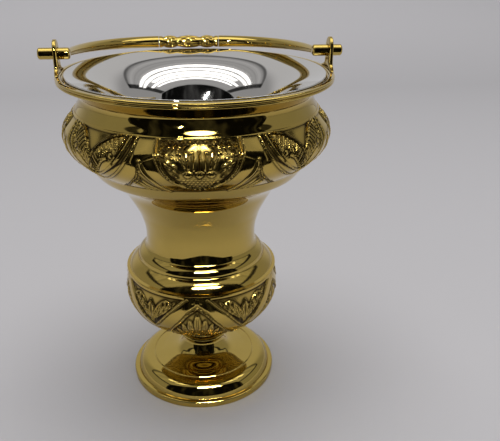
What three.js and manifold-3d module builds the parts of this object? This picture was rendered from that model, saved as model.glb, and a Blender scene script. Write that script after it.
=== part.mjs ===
// Holy water pot: a brass urn on a round foot, with a lift-out liner and a bail that swings
// in two ears. Millimetres, +Z up. The origin is the middle of the foot's underside, the two
// ears lie on the X axis, and the bail is laid back towards +Y.

import * as THREE from "three";
import { mergeVertices } from "three/addons/utils/BufferGeometryUtils.js";
import Module from "manifold-3d";

const wasm = await Module();
wasm.setup();

// Height of the pot from the floor to the top of its rim; the flare of the neck takes it up
const rimHeight = 190.418;

// Sheet thickness, the joint between neighbouring pieces, and how finely round things are cut
const wall = 1.6;
const seam = 0.3;
const facets = 44;
const smallFacets = 20;

// Foot: a spun dish with a rolled edge, a bold convex ring, a low cone and a hollow stem
const footRadius = 44.6;
const footBandHeight = 3.9;
const footBandWidth = 2.8;
const footCrownRadius = 26.5;
const footCrownHeight = 12.4;
const footKneeInset = 3.6;
const footKneeRise = 4;
const stemRadius = 11;
const stemTop = 24.6;
const stemPlate = 2.4;

// Collar between the stem and the bulb, with two thin ridges
const collarHeight = 8.6;
const collarRidgeRadius = 14.8;
const collarGroove = 1.9;

// Bulb: a round lower half, a steep side, a raised line and a sloping shoulder
const bulbRadius = 45.7;
const bulbSeatRadius = 13;
const bulbSeatHeight = 1.2;
const bulbDepth = 28.6;
const bulbSideRise = 13.3;
const bulbSideRadius = 44.1;
const bulbLineProud = 0.6;
const bulbLineWidth = 1.4;
const bulbShoulderInset = 1.2;
const bulbShoulderRise = 5.7;
const bulbMouthRadius = 37.8;

// Neck: a quarter-round ring on the bulb, a waist, a flare and a convex ring under the band
const neckStepRise = 5.3;
const neckStepInset = 4.9;
const waistRadius = 32;
const waistRise = 8.6;
const flareRadius = 55.5;
const flareKneeInset = 13.1;
const flareKneeDrop = 11.6;
const neckRingRise = 6;
const neckRingFlare = 6.2;

// Ornament band: the swollen section that carries the cast relief
const bandRadius = 73;
const bandLowerRise = 16.9;
const bandUpperRise = 12.3;
const bandTopRadius = 65.6;

// Throat and rim
const throatInset = 2.8;
const throatRise = 6.9;
const rimFlareRise = 6.8;
const rimFlare = 7.3;
const rimLipHeight = 2.9;
const beadWidth = 3.2;
const beadHeight = 3.1;
const beadGroove = 0.5;

// Liner: a sloping flange that turns down into a deep cup
const linerSheet = 0.8;
const linerEdgeInset = 1.1;
const linerFlangeWidth = 8;
const linerFlangeSlope = 22;
const linerCupRadius = 40.3;
const linerThroatDrop = 33;
const linerCupDepth = 61;
const linerCupTaper = 1.3;
const linerCornerRadius = 9;

// Ears: a domed plate on a toe that follows the rim
const earThickness = 2.5;
const earBaseWidth = 17;
const earDomeRadius = 5.6;
const earTopAbovePin = 7.1;
const earToeHeight = 1.2;
const earToeHalfAngle = 9.5;

// Bail: two pins, two tapering arms and a beaded grip
const pinAboveRim = 9.8;
const pinRadius = 3;
const pinInward = 7.25;
const pinOutward = 6.5;
const pinChamfer = 0.7;
const bailInset = 1.3;
const bailSideShift = -1.2;
const armPinRadius = 1.6;
const armGripRadius = 3.6;
const armSwell = 0.6;
const gripCollarWidth = 1.6;
const gripCollarRadius = 3.5;
const gripNeckRadius = 2.9;
const gripNeckWidth = 1.2;
const gripBeadRadius = 4;
const gripMiddleWidth = 12.7;
const gripSideWidth = 8.2;

// Tie rod, with a washer and a nut at each end
const rodRadius = 3;
const rodProud = 2.5;
const washerRadius = 8;
const washerHeight = 1.2;
const nutRadius = 5.8;
const nutHeight = 5;

// Levels from the floor up to the waist
const collarBottom = stemTop + seam;
const bulbBottom = collarBottom + collarHeight + seam;
const bulbRoundness = Math.sqrt(1 - (bulbSeatRadius / bulbRadius) ** 2);
const bulbBelly = bulbBottom + bulbSeatHeight + bulbDepth * bulbRoundness;
const bulbLine = bulbBelly + bulbSideRise;
const bulbTop = bulbLine + bulbLineWidth + bulbShoulderRise;
const neckBottom = bulbTop + seam;
const neckStepTop = neckBottom + neckStepRise;
const waistLevel = neckStepTop + waistRise;

// Levels from the rim down to the top of the flare, and up to the pins
const rimLevel = rimHeight - beadHeight;
const throatLevel = rimLevel - rimFlareRise;
const throatBottom = throatLevel - throatRise;
const bandTop = throatBottom - seam;
const bandMiddle = bandTop - bandUpperRise;
const bandBottom = bandMiddle - bandLowerRise;
const neckTop = bandBottom - seam;
const flareTop = neckTop - neckRingRise;
const lipTop = rimLevel + rimLipHeight;
const pinLevel = rimHeight + pinAboveRim;

// Distances along and across that several pieces share
const boreRadius = rodRadius + seam;
const stemPlateUnder = stemTop - stemPlate;
const bulbPlateTop = bulbBottom + bulbSeatHeight + wall;
const neckTopRadius = flareRadius + neckRingFlare;
const throatRadius = bandTopRadius - throatInset;
const rimLipRadius = throatRadius + rimFlare;
const beadInner = rimLipRadius + seam;
const beadRadius = beadInner + beadWidth;
const bailReach = beadRadius - bailInset;
const linerSlope = THREE.MathUtils.degToRad(linerFlangeSlope);
const earInner = beadRadius - earThickness;
const pinInner = earInner - pinInward;
const pinLength = pinInward + earThickness + pinOutward;
const gripLength = gripMiddleWidth + 2 * (gripSideWidth + 2 * gripNeckWidth + gripCollarWidth);
const bailDrop = pinAboveRim - seam - gripBeadRadius;

// Finishes
const polishedBrass = { color: 0xc6a452, roughness: 0.16, metalness: 1 };
const castBrass = { color: 0xb6924a, roughness: 0.28, metalness: 1 };
const nickelPlate = { color: 0xd8d6d0, roughness: 0.1, metalness: 1 };
const steel = { color: 0x8b8b88, roughness: 0.4, metalness: 1 };

const pot = new THREE.Group();

function addPiece(parent, name, geometry, finish) {
  const mesh = new THREE.Mesh(geometry, new THREE.MeshStandardMaterial(finish));
  mesh.name = name;
  parent.add(mesh);
  return mesh;
}

// Outline points are (radius, height) pairs
function at(radius, height) {
  return new THREE.Vector2(radius, height);
}

// A smooth stretch that leaves one point and arrives at the next, at angles in degrees
// from straight outward
function bend(from, leaving, to, arriving, steps = 3, fullness = 0.36) {
  const reach = from.distanceTo(to) * fullness;
  const out = THREE.MathUtils.degToRad(leaving);
  const into = THREE.MathUtils.degToRad(arriving);
  const first = at(from.x + reach * Math.cos(out), from.y + reach * Math.sin(out));
  const second = at(to.x - reach * Math.cos(into), to.y - reach * Math.sin(into));
  return new THREE.CubicBezierCurve(from, first, second, to).getPoints(steps);
}

// The other face of a sheet: its points moved by the thickness to the left of their travel
function offset(points, thickness) {
  return points.map((point, i) => {
    const before = points[Math.max(i - 1, 0)];
    const after = points[Math.min(i + 1, points.length - 1)];
    const along = after.clone().sub(before).normalize();
    return at(point.x - along.y * thickness, point.y + along.x * thickness);
  });
}

// A ring or dish from a closed outline, turned about the Z axis: the outside upwards first
function turned(outline, sides = facets) {
  return new THREE.LatheGeometry([...outline, outline[0]], sides).rotateX(Math.PI / 2);
}

function sheetOf(outer) {
  return turned([...outer, ...offset(outer, wall).reverse()]);
}

function makeFoot() {
  const edge = at(footRadius, footBandHeight * 0.75);
  const line = at(footRadius - footBandWidth, footBandHeight);
  const crown = at(footCrownRadius, footCrownHeight);
  const knee = at(stemRadius + footKneeInset, footCrownHeight + footKneeRise);
  const ring = bend(line, 108, crown, 172, 6, 0.42);
  const cone = [
    ...bend(crown, 168, knee, 134, 3, 0.33).slice(1),
    ...bend(knee, 134, at(stemRadius, stemPlateUnder - stemPlate), 92).slice(1),
    at(stemRadius, stemPlateUnder),
  ];
  const outline = [
    at(footRadius, 0),
    ...bend(edge, 95, line, 175),
    ...ring.slice(1),
    ...cone,
    at(stemRadius, stemTop),
    at(boreRadius, stemTop),
    at(boreRadius, stemPlateUnder),
    ...offset([...ring, ...cone], wall).reverse(),
    at(footRadius - wall, 0),
  ];
  addPiece(pot, "foot", turned(outline), polishedBrass);
}

function makeStemCollar() {
  const ridges = 2;
  const pitch = collarHeight / (ridges + 0.5);
  const outline = [];
  for (let i = 0; i < ridges; i++) {
    const low = collarBottom + i * pitch;
    outline.push(at(collarRidgeRadius - collarGroove, low));
    outline.push(at(collarRidgeRadius, low + pitch * 0.3));
    outline.push(at(collarRidgeRadius, low + pitch * 0.6));
    outline.push(at(collarRidgeRadius - collarGroove, low + pitch * 0.9));
  }
  outline.push(at(bulbSeatRadius, collarBottom + collarHeight));
  outline.push(at(boreRadius, collarBottom + collarHeight));
  outline.push(at(boreRadius, collarBottom));
  addPiece(pot, "stem_collar", turned(outline, 32), polishedBrass);
}

function makeBulb() {
  const start = -Math.acos(bulbSeatRadius / bulbRadius);
  const round = new THREE.EllipseCurve(0, bulbBelly, bulbRadius, bulbDepth, start, 0);
  const line = at(bulbSideRadius, bulbLine);
  const ridge = at(bulbSideRadius + bulbLineProud, bulbLine + bulbLineWidth * 0.5);
  const shoulder = at(bulbSideRadius - bulbShoulderInset, bulbLine + bulbLineWidth);
  const below = [...round.getPoints(7), ...bend(at(bulbRadius, bulbBelly), 90, line, 98).slice(1)];
  const above = bend(shoulder, 138, at(bulbMouthRadius, bulbTop), 130);
  const outline = [
    at(bulbSeatRadius, bulbBottom),
    ...below,
    ridge,
    ...above,
    ...offset([...below, ...above], wall).reverse(),
    at(boreRadius, bulbPlateTop),
    at(boreRadius, bulbBottom),
  ];
  addPiece(pot, "bulb", turned(outline), castBrass);
}

function makeNeck() {
  const stepTop = at(bulbMouthRadius - neckStepInset, neckStepTop);
  const waist = at(waistRadius, waistLevel);
  const flare = at(flareRadius, flareTop);
  const knee = at(flareRadius - flareKneeInset, flareTop - flareKneeDrop);
  const outer = [
    ...bend(at(bulbMouthRadius, neckBottom), 92, stepTop, 160),
    ...bend(stepTop, 108, waist, 90).slice(1),
    ...bend(waist, 90, knee, 60, 4, 0.4).slice(1),
    ...bend(knee, 58, flare, 34).slice(1),
    ...bend(flare, 30, at(neckTopRadius, neckTop), 60).slice(1),
  ];
  addPiece(pot, "neck", sheetOf(outer), polishedBrass);
}

function makeOrnamentBand() {
  const middle = at(bandRadius, bandMiddle);
  const outer = [
    ...bend(at(neckTopRadius, bandBottom), 38, middle, 90, 4, 0.4),
    ...bend(middle, 90, at(bandTopRadius, bandTop), 120, 4).slice(1),
  ];
  addPiece(pot, "ornament_band", sheetOf(outer), castBrass);
}

function makeThroat() {
  const narrow = at(throatRadius, throatLevel);
  const outer = [
    ...bend(at(bandTopRadius, throatBottom), 117, narrow, 90),
    ...bend(narrow, 90, at(rimLipRadius, rimLevel), 27, 4, 0.25).slice(1),
  ];
  const lipFall = wall * Math.tan(linerSlope);
  const lip = [at(rimLipRadius, lipTop), at(rimLipRadius - wall, lipTop - lipFall)];
  const inner = offset(outer, wall).slice(0, -1).reverse();
  addPiece(pot, "throat", turned([...outer, ...lip, ...inner]), polishedBrass);
}

function makeRimBead() {
  const middle = rimLevel + beadHeight / 2;
  const round = beadHeight * 0.28;
  const outline = [
    at(beadRadius - round, rimLevel),
    at(beadRadius, middle - round),
    at(beadRadius - beadGroove, middle),
    at(beadRadius, middle + round * 0.7),
    at(beadRadius - round, rimHeight - round * 0.2),
    at(beadRadius - round * 2.4, rimHeight),
    at(beadInner, rimHeight - round),
    at(beadInner, rimLevel),
  ];
  addPiece(pot, "rim_bead", turned(outline), polishedBrass);
}

function makeLiner() {
  const edgeRadius = rimLipRadius - linerEdgeInset;
  const seatLevel = lipTop - linerEdgeInset * Math.tan(linerSlope) + seam;
  const edgeLevel = seatLevel + linerSheet / Math.cos(linerSlope);
  const flangeFall = linerFlangeWidth * Math.tan(linerSlope);
  const floorLevel = edgeLevel - linerCupDepth;
  const wallFoot = at(linerCupRadius - linerCupTaper, floorLevel + linerCornerRadius);
  const flange = at(edgeRadius - linerFlangeWidth, edgeLevel - flangeFall);
  const cup = at(linerCupRadius, edgeLevel - linerThroatDrop);
  const visible = [
    at(0, floorLevel),
    ...bend(at(wallFoot.x - linerCornerRadius, floorLevel), 0, wallFoot, 87, 3, 0.4),
    ...bend(cup, 86, flange, linerFlangeSlope, 6),
    at(edgeRadius, edgeLevel),
  ];
  const outline = [...offset(visible, -linerSheet), ...visible.reverse()];
  const dish = new THREE.LatheGeometry(outline, facets).rotateX(Math.PI / 2);
  addPiece(pot, "liner", dish, nickelPlate);
}

// A closed mesh as a solid that can be joined to others, and back again
function solidOf(geometry) {
  geometry.deleteAttribute("normal");
  geometry.deleteAttribute("uv");
  const merged = mergeVertices(geometry, 1e-4);
  const vertProperties = new Float32Array(merged.attributes.position.array);
  const triVerts = new Uint32Array(merged.index.array);
  return new wasm.Manifold(new wasm.Mesh({ numProp: 3, vertProperties, triVerts }));
}

function geometryOf(solid) {
  const mesh = solid.getMesh();
  const geometry = new THREE.BufferGeometry();
  geometry.setAttribute("position", new THREE.BufferAttribute(mesh.vertProperties, 3));
  geometry.setIndex(new THREE.BufferAttribute(mesh.triVerts, 1));
  return geometry;
}

// The ear's upright plate, drawn as (Y, Z) and thick along X
function earPlate(bottom) {
  const half = earBaseWidth / 2;
  const domeLevel = pinLevel + earTopAbovePin - earDomeRadius;
  const shoulderLevel = (bottom + pinLevel) / 2;
  const plate = new THREE.Shape();
  plate.moveTo(half, bottom);
  plate.quadraticCurveTo(earDomeRadius, shoulderLevel, earDomeRadius, domeLevel);
  plate.absarc(0, domeLevel, earDomeRadius, 0, Math.PI);
  plate.quadraticCurveTo(-earDomeRadius, shoulderLevel, -half, bottom);
  plate.closePath();
  const hole = new THREE.Path();
  hole.absarc(0, pinLevel, pinRadius + seam, 0, Math.PI * 2);
  plate.holes.push(hole);
  const settings = { depth: earThickness, bevelEnabled: false, curveSegments: 8 };
  const solid = new THREE.ExtrudeGeometry(plate, settings);
  return solid.rotateY(Math.PI / 2).rotateX(Math.PI / 2).translate(earInner, 0, 0);
}

// The ear's toe, which spreads along the top of the rim on both sides of the plate
function earToe(bottom) {
  const halfAngle = THREE.MathUtils.degToRad(earToeHalfAngle);
  const sector = new THREE.Shape();
  sector.absarc(0, 0, beadRadius - beadGroove, -halfAngle, halfAngle);
  sector.absarc(0, 0, beadInner + seam, halfAngle, -halfAngle, true);
  sector.closePath();
  const settings = { depth: earToeHeight, bevelEnabled: false, curveSegments: 6 };
  return new THREE.ExtrudeGeometry(sector, settings).translate(0, 0, bottom);
}

function makeEars() {
  const bottom = rimHeight + seam;
  const ear = solidOf(earPlate(bottom)).add(solidOf(earToe(bottom)));
  const right = addPiece(pot, "right_ear", geometryOf(ear), polishedBrass);
  const left = addPiece(pot, "left_ear", right.geometry.clone(), polishedBrass);
  left.rotation.z = Math.PI;
}

// A pin lies along X and passes through its ear
function pinShape() {
  const profile = [
    at(0, 0),
    at(pinRadius - pinChamfer, 0),
    at(pinRadius, pinChamfer),
    at(pinRadius, pinLength - pinChamfer),
    at(pinRadius - pinChamfer, pinLength),
    at(0, pinLength),
  ];
  const shape = new THREE.LatheGeometry(profile, smallFacets).rotateZ(-Math.PI / 2);
  return shape.translate(pinInner, 0, 0);
}

// An arm runs from the side of its pin round a quarter of an oval to the end of the grip,
// and swells on the way; a straight rod is bent to that line
function armShape() {
  const centre = gripLength / 2 + seam;
  const acrossRadius = pinInner + armPinRadius - centre;
  const start = Math.asin((pinRadius + seam) / bailReach);
  const line = new THREE.EllipseCurve(centre, 0, acrossRadius, bailReach, start, Math.PI / 2);
  const rod = new THREE.CylinderGeometry(1, 1, 1, 12, 14);
  const points = rod.attributes.position;
  for (let i = 0; i < points.count; i++) {
    const share = points.getY(i) + 0.5;
    const radius = armPinRadius + (armGripRadius - armPinRadius) * share ** armSwell;
    const middle = line.getPointAt(share);
    const along = line.getTangentAt(share);
    const across = points.getX(i) * radius;
    const up = points.getZ(i) * radius;
    points.setXYZ(i, middle.x + along.y * across, middle.y - along.x * across, up);
  }
  return rod;
}

// The grip's three beads, each a swelling between two narrow necks
function gripShape() {
  const profile = [at(0, 0), at(gripCollarRadius, 0), at(gripCollarRadius, gripCollarWidth)];
  let place = gripCollarWidth;
  for (const width of [gripSideWidth, gripMiddleWidth, gripSideWidth]) {
    place += gripNeckWidth;
    for (const share of [0, 0.12, 0.3, 0.5, 0.7, 0.88, 1]) {
      const swell = (gripBeadRadius - gripNeckRadius) * Math.sin(Math.PI * share) ** 0.7;
      profile.push(at(gripNeckRadius + swell, place + share * width));
    }
    place += width;
  }
  place += gripNeckWidth;
  profile.push(at(gripCollarRadius, place), at(gripCollarRadius, gripLength), at(0, gripLength));
  const shape = new THREE.LatheGeometry(profile, smallFacets).rotateZ(-Math.PI / 2);
  return shape.translate(-gripLength / 2, bailReach, 0);
}

function makeBail() {
  const bail = new THREE.Group();
  bail.position.set(bailSideShift, 0, pinLevel);
  bail.rotation.x = -Math.asin(bailDrop / bailReach);
  const rightPin = addPiece(bail, "right_pin", pinShape(), polishedBrass);
  const rightArm = addPiece(bail, "bail_right_arm", armShape(), polishedBrass);
  const leftPin = addPiece(bail, "left_pin", rightPin.geometry.clone(), polishedBrass);
  const leftArm = addPiece(bail, "bail_left_arm", rightArm.geometry.clone(), polishedBrass);
  leftPin.rotation.y = Math.PI;
  leftArm.rotation.y = Math.PI;
  addPiece(bail, "bail_grip", gripShape(), castBrass);
  pot.add(bail);
}

function washerAt(bottom) {
  const top = bottom + washerHeight;
  const outer = [at(washerRadius, bottom), at(washerRadius, top)];
  return turned([...outer, at(boreRadius, top), at(boreRadius, bottom)], smallFacets);
}

function nutAt(bottom) {
  const hexagon = new THREE.Shape();
  for (let i = 0; i < 6; i++) {
    const angle = (i * Math.PI) / 3;
    const corner = [nutRadius * Math.cos(angle), nutRadius * Math.sin(angle)];
    if (i === 0) hexagon.moveTo(...corner);
    else hexagon.lineTo(...corner);
  }
  hexagon.closePath();
  const bore = new THREE.Path();
  bore.absarc(0, 0, boreRadius, 0, Math.PI * 2);
  hexagon.holes.push(bore);
  const settings = { depth: nutHeight, bevelEnabled: false, curveSegments: smallFacets };
  return new THREE.ExtrudeGeometry(hexagon, settings).translate(0, 0, bottom);
}

// The rod pulls the foot, the collar and the bulb together
function makeTieRod() {
  const footWasher = stemPlateUnder - seam - washerHeight;
  const footNut = footWasher - seam - nutHeight;
  const bulbWasher = bulbPlateTop + seam;
  const bulbNut = bulbWasher + washerHeight + seam;
  const rodBottom = footNut - rodProud;
  const rodLength = bulbNut + nutHeight + rodProud - rodBottom;
  const rod = new THREE.CylinderGeometry(rodRadius, rodRadius, rodLength, smallFacets);
  rod.rotateX(Math.PI / 2).translate(0, 0, rodBottom + rodLength / 2);
  addPiece(pot, "tie_rod", rod, steel);
  addPiece(pot, "foot_washer", washerAt(footWasher), steel);
  addPiece(pot, "foot_nut", nutAt(footNut), steel);
  addPiece(pot, "bulb_washer", washerAt(bulbWasher), steel);
  addPiece(pot, "bulb_nut", nutAt(bulbNut), steel);
}

makeFoot();
makeStemCollar();
makeBulb();
makeNeck();
makeOrnamentBand();
makeThroat();
makeRimBead();
makeLiner();
makeEars();
makeBail();
makeTieRod();

export default pot;
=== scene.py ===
"""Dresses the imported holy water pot: spun and cast brass, a nickel plated liner and a bail."""

import math

import bpy
import numpy as np
from mathutils import Matrix, Vector


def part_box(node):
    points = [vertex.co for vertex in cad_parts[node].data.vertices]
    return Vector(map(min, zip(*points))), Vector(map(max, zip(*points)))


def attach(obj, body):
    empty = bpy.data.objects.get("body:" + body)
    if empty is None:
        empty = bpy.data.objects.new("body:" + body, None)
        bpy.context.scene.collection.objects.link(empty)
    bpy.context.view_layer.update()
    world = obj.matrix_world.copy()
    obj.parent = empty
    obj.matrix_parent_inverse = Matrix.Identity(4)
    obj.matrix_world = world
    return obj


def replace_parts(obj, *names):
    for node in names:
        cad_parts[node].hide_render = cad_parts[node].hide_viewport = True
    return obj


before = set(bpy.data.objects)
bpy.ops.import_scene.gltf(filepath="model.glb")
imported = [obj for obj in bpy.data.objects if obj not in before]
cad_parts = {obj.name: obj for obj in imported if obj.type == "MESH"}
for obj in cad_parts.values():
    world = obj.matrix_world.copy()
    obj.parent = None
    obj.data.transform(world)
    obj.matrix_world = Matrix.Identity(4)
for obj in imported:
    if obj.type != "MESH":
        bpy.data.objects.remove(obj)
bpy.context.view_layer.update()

bl_info = {
    "name": "Holy Water Pot",
    "version": (1, 0, 0),
    "blender": (4, 5, 0),
    "location": "3D View > Sidebar > Holy Water Pot",
    "description": "Builds the visible pieces of a footed brass holy water pot",
    "category": "Add Mesh",
}

# Thickness of the pot's sheet and width of its seams, in millimetres
WALL = 1.6
SEAM = 0.3
# Millimetres in a metre
MM = 1000
# Turn of the pot's front from its right side
FRONT = -math.pi / 2
# An edge that turns further than this is shaded as sharp
SHARP = math.radians(34)


# Units and colours


def linear(code):
    """An sRGB hex colour as linear red, green and blue."""
    parts = [int(code[i : i + 2], 16) / 255 for i in (1, 3, 5)]
    return tuple(c / 12.92 if c <= 0.04045 else ((c + 0.055) / 1.055) ** 2.4 for c in parts)


def number(label, meaning, value, **more):
    return bpy.props.FloatProperty(name=label, description=meaning, default=value, **more)


def length(label, meaning, mm):
    """A size that is shown in scene units and written here in millimetres."""
    return number(label, meaning, mm / MM, min=0, precision=4, unit="LENGTH")


def angle(label, meaning, degrees):
    return number(label, meaning, math.radians(degrees), subtype="ANGLE")


def share(label, meaning, value):
    return number(label, meaning, value, min=0, max=1, subtype="FACTOR")


def brightness(label, meaning, value):
    return number(label, meaning, value, min=0)


def count(label, meaning, value):
    return bpy.props.IntProperty(name=label, description=meaning, default=value, min=1)


def triple(label, meaning, value, **more):
    return bpy.props.FloatVectorProperty(
        name=label, description=meaning, default=value, size=3, **more
    )


def colour(label, meaning, code):
    return triple(label, meaning, linear(code), min=0, max=1, subtype="COLOR")


class FootSizes(bpy.types.PropertyGroup):
    band_height: length("Edge height", "Height of the rolled edge", 3.9)
    band_width: length("Edge width", "Width of the rolled edge, seen from above", 2.8)
    crown_radius: length("Crown radius", "Where the bold ring meets the cone", 26.5)
    crown_height: length("Crown height", "Height of the bold ring", 12.4)
    line_radius: length("Line radius", "Radius of the line cut round the ring", 31.5)
    line_depth: length("Line depth", "Depth of the line cut round the ring", 0.35)
    stem_radius: length("Stem radius", "Radius of the stem at its top", 11)
    stem_plate: length("Stem plate", "Thickness of the stem's top plate", 2.4)
    ridges: count("Collar ridges", "Ridges round the collar on the stem", 2)
    ridge_radius: length("Ridge radius", "Radius of the collar's ridges", 14.8)
    groove: length("Groove depth", "Depth of the grooves between the ridges", 1.9)
    bore: length("Rod bore", "Radius of the hole for the tie rod", 3.3)
    collar_radius: length("Collar radius", "Radius of the collar's top edge", 13)


class BulbSizes(bpy.types.PropertyGroup):
    seat_radius: length("Seat radius", "Radius of the flat seat on the collar", 13)
    seat_height: length("Seat height", "Straight rise above the seat", 1.2)
    depth: length("Depth", "Depth of the round lower half", 28.6)
    side_rise: length("Side rise", "Rise of the steep side", 13.3)
    side_radius: length("Side radius", "Radius at the top of the side", 44.1)
    line_proud: length("Line height", "How far the raised line stands proud", 0.6)
    line_width: length("Line width", "Width of the raised line", 1.4)
    shoulder_inset: length("Shoulder inset", "Step in from the side", 1.2)
    mouth_radius: length("Mouth radius", "Radius at the top of the shoulder", 37.8)
    cells: count("Repeats", "Times the cast ornament repeats round the bulb", 5)
    turn: angle("Turn", "Turn of the ornament's middle from the front", -6.8)
    bore: length("Bore", "Radius of the hole for the tie rod", 3.3)


class NeckSizes(bpy.types.PropertyGroup):
    step_rise: length("Ring rise", "Height of the quarter round ring", 5.3)
    step_inset: length("Ring inset", "How far the ring draws in", 4.9)
    waist_radius: length("Waist radius", "Radius of the waist", 32)
    waist_rise: length("Waist rise", "Rise from the ring to the waist", 8.6)
    flare_radius: length("Flare radius", "Radius at the top of the flare", 55.5)
    flare_rise: length("Flare rise", "Height of the flare", 40.8)
    knee_inset: length("Knee inset", "How far inside the crease the flare turns", 13.1)
    knee_drop: length("Knee drop", "How far below the crease the flare turns", 11.6)
    mouth_inset: length("Mouth inset", "How far inside the bulb's side it starts", 7.9)


class BandSizes(bpy.types.PropertyGroup):
    lower_rise: length("Lower rise", "Height below the widest level", 16.9)
    top_radius: length("Top radius", "Radius at the top of the band", 65.6)
    cells: count("Repeats", "Times the cast ornament repeats round the band", 4)
    turn: angle("Turn", "Turn of the ornament's middle from the front", -2.6)
    turn_inset: length("Turn inset", "How far the side draws in up to its turn", 2.6)
    turn_rise: length("Turn rise", "Height of the turn over the widest place", 6.2)


class RimSizes(bpy.types.PropertyGroup):
    throat_rise: length("Throat rise", "Rise to the narrowest level", 6.9)
    throat_radius: length("Throat radius", "Radius at the narrowest level", 62.8)
    lip_height: length("Lip height", "Height of the upright lip", 2.9)
    lip_radius: length("Lip radius", "Radius of the upright lip", 70.1)
    ear_thickness: length("Ear thickness", "Thickness of the ears", 2.5)
    ear_base: length("Ear base", "Width of an ear above its toe", 13)
    ear_dome: length("Ear dome", "Radius of an ear's domed top", 5.6)
    ear_toe: length("Ear toe", "Height of the toe at the foot of an ear", 1.2)
    ear_hole: length("Ear hole", "Radius of the hole for the pin", 3.3)
    throat_inset: length("Throat inset", "How far inside the band's side it starts", 7.4)


class LinerSizes(bpy.types.PropertyGroup):
    sheet: length("Sheet", "Thickness of the liner", 0.8)
    flange_width: length("Flange width", "Width of the sloping flange", 8)
    flange_slope: angle("Flange slope", "Fall of the flange inwards", 22)
    cup_radius: length("Cup radius", "Radius at the top of the cup", 40.3)
    throat_drop: length("Throat drop", "Depth of the curved throat", 33)
    cup_taper: length("Cup taper", "How much the cup draws in", 1.3)
    corner: length("Corner radius", "Radius between the wall and the floor", 9)


class BailSizes(bpy.types.PropertyGroup):
    pin_radius: length("Pin radius", "Radius of the pins", 3)
    reach: length("Reach", "Distance from the pins to the grip", 72.3)
    arm_pin_radius: length("Arm radius at pin", "Radius of an arm's thin end", 1.6)
    arm_grip_radius: length("Arm radius at grip", "Radius of an arm's thick end", 3.6)
    collar_width: length("Collar width", "Width of the grip's end collars", 1.6)
    collar_radius: length("Collar radius", "Radius of the grip's end collars", 3.5)
    neck_radius: length("Neck radius", "Radius between the grip's beads", 2.9)
    neck_width: length("Neck width", "Width of the necks between the beads", 1.2)
    bead_radius: length("Bead radius", "Radius of the grip's beads", 3.85)
    middle_bead: length("Middle bead", "Width of the middle bead", 12.7)
    side_bead: length("Side bead", "Width of the side beads", 8.2)


class Finishes(bpy.types.PropertyGroup):
    brass: colour("Polished brass", "Colour of spun and buffed brass", "#c9ae5c")
    cast: colour("Cast brass", "Colour of the relief's high points", "#c8ac5a")
    # The hollows' dark brown is partly tarnish and partly painted shade in the recesses
    hollow: colour("Relief hollows", "Colour of the darkened hollows", "#2f230e")
    nickel: colour("Nickel plate", "Colour of the liner", "#dcd9d4")
    steel: colour("Steel", "Colour of the hidden fastenings", "#8b8b88")
    spun_roughness: share("Spun roughness", "Roughness of the buffed brass", 0.03)
    cast_roughness: share("Cast roughness", "Roughness of the cast brass", 0.07)
    plate_roughness: share("Plate roughness", "Roughness of the liner", 0.035)


class StudioSettings(bpy.types.PropertyGroup):
    eye: triple(
        "Camera place",
        "Where the camera stands, in the pot's frame",
        (-0.01616, -0.34276, 0.25671),
        subtype="TRANSLATION",
        unit="LENGTH",
    )
    heading: angle("Heading", "Turn of the camera to the right", 7.597)
    pitch: angle("Pitch", "How far the camera looks down", 24.287)
    roll: angle("Roll", "Roll of the camera", -0.524)
    lens: number("Lens", "Focal length on a 36 mm wide sensor", 45.55, unit="CAMERA")
    floor: colour("Floor", "Colour of the floor", "#b6b4b6")
    card_near: length("Card distance", "How far in front the dark card stands", 225)
    card_left: length("Card left", "Reach of the dark card to the left", 490)
    card_right: length("Card right", "Reach of the dark card to the right", 370)
    card_height: length("Card height", "Height of the dark card's middle", 455)
    walls: brightness("Walls", "Brightness of the walls", 0.33)
    backdrop: brightness("Backdrop", "Brightness of the wall behind the pot", 0.55)
    panel: brightness("Panel", "Brightness of the panel overhead", 2.1)
    tubes: brightness("Tubes", "Brightness of the thin tubes", 18)
    softbox: brightness("Softbox", "Power of the softbox over the floor", 78)


def subgroup(kind, label):
    return bpy.props.PointerProperty(type=kind, name=label)


class PotSettings(bpy.types.PropertyGroup):
    foot: subgroup(FootSizes, "Foot")
    bulb: subgroup(BulbSizes, "Bulb")
    neck: subgroup(NeckSizes, "Neck")
    band: subgroup(BandSizes, "Ornament band")
    rim: subgroup(RimSizes, "Throat, rim and ears")
    liner: subgroup(LinerSizes, "Liner")
    bail: subgroup(BailSizes, "Bail")
    finishes: subgroup(Finishes, "Finishes")
    studio: subgroup(StudioSettings, "Studio")


class Millimetres:
    """A property group's lengths in millimetres, and its other values as they are."""

    def __init__(self, group):
        for name, prop in group.bl_rna.properties.items():
            if name in ("rna_type", "name"):
                continue
            value = getattr(group, name)
            setattr(self, name, value * MM if prop.unit == "LENGTH" else value)


def sizes(context, name):
    return Millimetres(getattr(context.scene.holy_water_pot, name))


def span(node):
    """A CAD node's lowest and highest level and its greatest radius, in millimetres."""
    low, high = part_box(node)
    return low.z * MM, high.z * MM, max(-low.x, high.x) * MM


# Outlines, as rows of (radius, height) in millimetres


def bend(start, leaving, end, arriving, steps=14, fullness=0.36):
    """A smooth stretch between two points, at angles in degrees from straight outward."""
    start, end = np.array(start, float), np.array(end, float)
    reach = np.linalg.norm(end - start) * fullness
    out, into = math.radians(leaving), math.radians(arriving)
    first = start + reach * np.array([math.cos(out), math.sin(out)])
    second = end - reach * np.array([math.cos(into), math.sin(into)])
    t = np.linspace(0, 1, steps + 1)[:, None]
    near, far = (1 - t) ** 3 * start, t**3 * end
    return near + 3 * (1 - t) ** 2 * t * first + 3 * (1 - t) * t**2 * second + far


def joined(*runs):
    """Runs of points as one, without the points that repeat."""
    points = np.vstack([np.atleast_2d(np.array(run, float)) for run in runs])
    apart = np.linalg.norm(np.diff(points, axis=0), axis=1) > 1e-6
    return points[np.concatenate([[True], apart])]


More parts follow.
